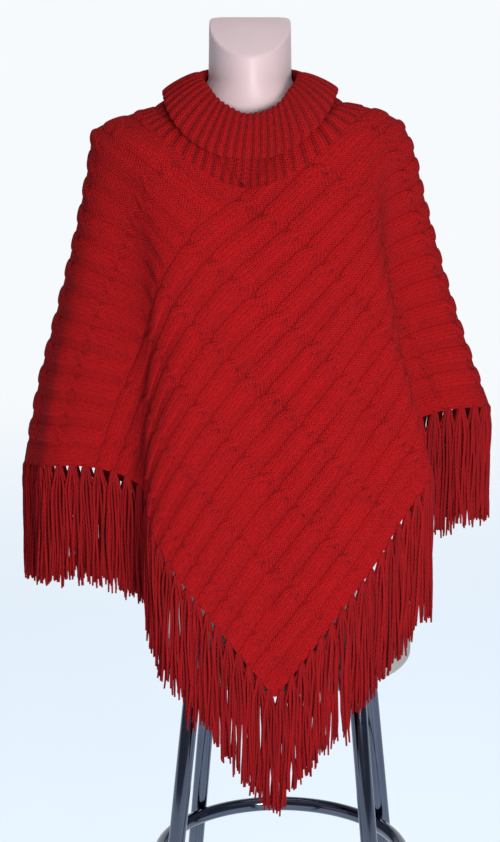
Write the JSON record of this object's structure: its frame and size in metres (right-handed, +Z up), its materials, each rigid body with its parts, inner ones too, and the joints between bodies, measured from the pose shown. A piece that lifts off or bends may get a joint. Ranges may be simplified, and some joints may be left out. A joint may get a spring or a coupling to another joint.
{
  "type": "knitted poncho on a dress form and bar stool",
  "caption": "Red cable-knit poncho with a folded ribbed collar and knotted yarn fringe, worn by a limbless dress form that stands on a chrome bar stool.",
  "frame": {"origin": "the floor point below the middle of the part's box", "axes": "+Z up from the floor through the neck, the wearer faces -Y, +X is at the right of someone looking at the front"},
  "size_m": [0.6134, 0.4127, 1.5515],
  "materials": {
    "red_knit": "soft matte chunky wool knit",
    "form_plastic": "satin beige-pink",
    "chrome": "polished tube",
    "seat_pad": "satin beige-grey",
    "rubber": "matte"
  },
  "bodies": {
    "root": {"panel_a": "red_knit", "panel_b": "red_knit", "collar": "red_knit", "fringe_a_long": "red_knit", "fringe_a_short": "red_knit", "fringe_b_long": "red_knit", "fringe_b_short": "red_knit", "dress_form": "form_plastic", "seat": "seat_pad", "foot_ring": "chrome", "leg_1": "chrome", "leg_2": "chrome", "leg_3": "chrome", "leg_4": "chrome", "foot_1": "rubber", "foot_2": "rubber", "foot_3": "rubber", "foot_4": "rubber"}
  },
  "joints": []
}
